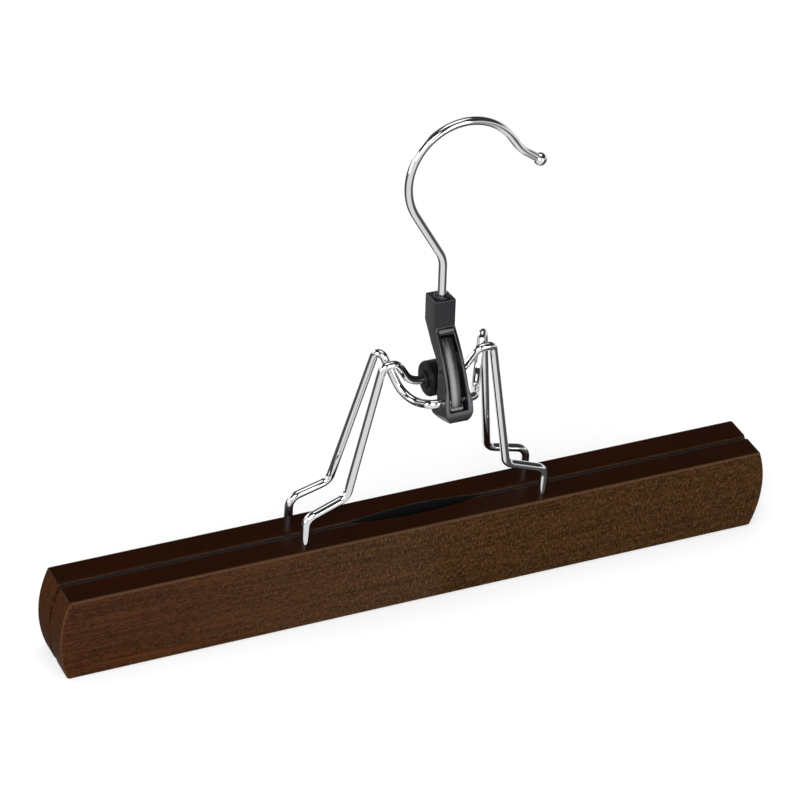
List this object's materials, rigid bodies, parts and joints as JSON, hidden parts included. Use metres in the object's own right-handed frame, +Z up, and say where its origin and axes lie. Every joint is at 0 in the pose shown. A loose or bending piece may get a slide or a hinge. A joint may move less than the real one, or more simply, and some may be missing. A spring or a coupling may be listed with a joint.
{
  "type": "skirt hanger",
  "caption": "Wooden clamp hanger: two felt-lined jaw bars on hinged wire frames, locked by a black cam lever clasp under a swivelling wire hook.",
  "frame": {"origin": "under the middle of the closed jaws, on the plane where the two linings meet, level with the bars' lower faces", "axes": "+X along the bars to the right as seen from the lever side, -Y towards the lever side, +Z up towards the hook"},
  "size_m": [0.25, 0.0338, 0.1729],
  "materials": {
    "walnut_wood": "dark walnut stain under semi-gloss lacquer",
    "black_felt": "short black felt",
    "chrome_wire": "bright chrome plate on steel wire",
    "plain_steel": "plain steel",
    "black_plastic": "fine matte black moulding",
    "black_gloss_plastic": "smooth black moulding"
  },
  "bodies": {
    "rear_jaw": {"rear_bar": "walnut_wood", "rear_lining": "black_felt", "rear_wire": "chrome_wire", "clasp_body": "black_plastic"},
    "front_jaw": {"front_bar": "walnut_wood", "front_lining": "black_felt", "front_wire": "chrome_wire"},
    "lever": {"lock_lever": "black_gloss_plastic"},
    "roller": {"cam_roller": "black_plastic"},
    "swivel_hook": {"hook": "chrome_wire", "hook_washer": "plain_steel"}
  },
  "joints": [
    {"name": "jaw_open", "type": "hinge", "parent": "rear_jaw", "child": "front_jaw", "pos_m": [0, -0.0057, 0.0926], "axis": [-1, 0, 0], "range_deg": [0, 15]},
    {"name": "lever_turn", "type": "hinge", "parent": "rear_jaw", "child": "lever", "pos_m": [0, -0.0181, 0.0839], "axis": [1, 0, 0], "range_deg": [0, 90]},
    {"name": "roller_spin", "type": "hinge", "parent": "front_jaw", "child": "roller", "pos_m": [0, -0.0046, 0.0839], "axis": [1, 0, 0], "continuous": true},
    {"name": "hook_swivel", "type": "hinge", "parent": "rear_jaw", "child": "swivel_hook", "pos_m": [0, -0.0042, 0.1137], "axis": [0, 0.1045, 0.9945], "continuous": true}
  ],
  "couplings": [
    {"joint": "lever_turn", "follows": "jaw_open", "ratio": 6}
  ]
}
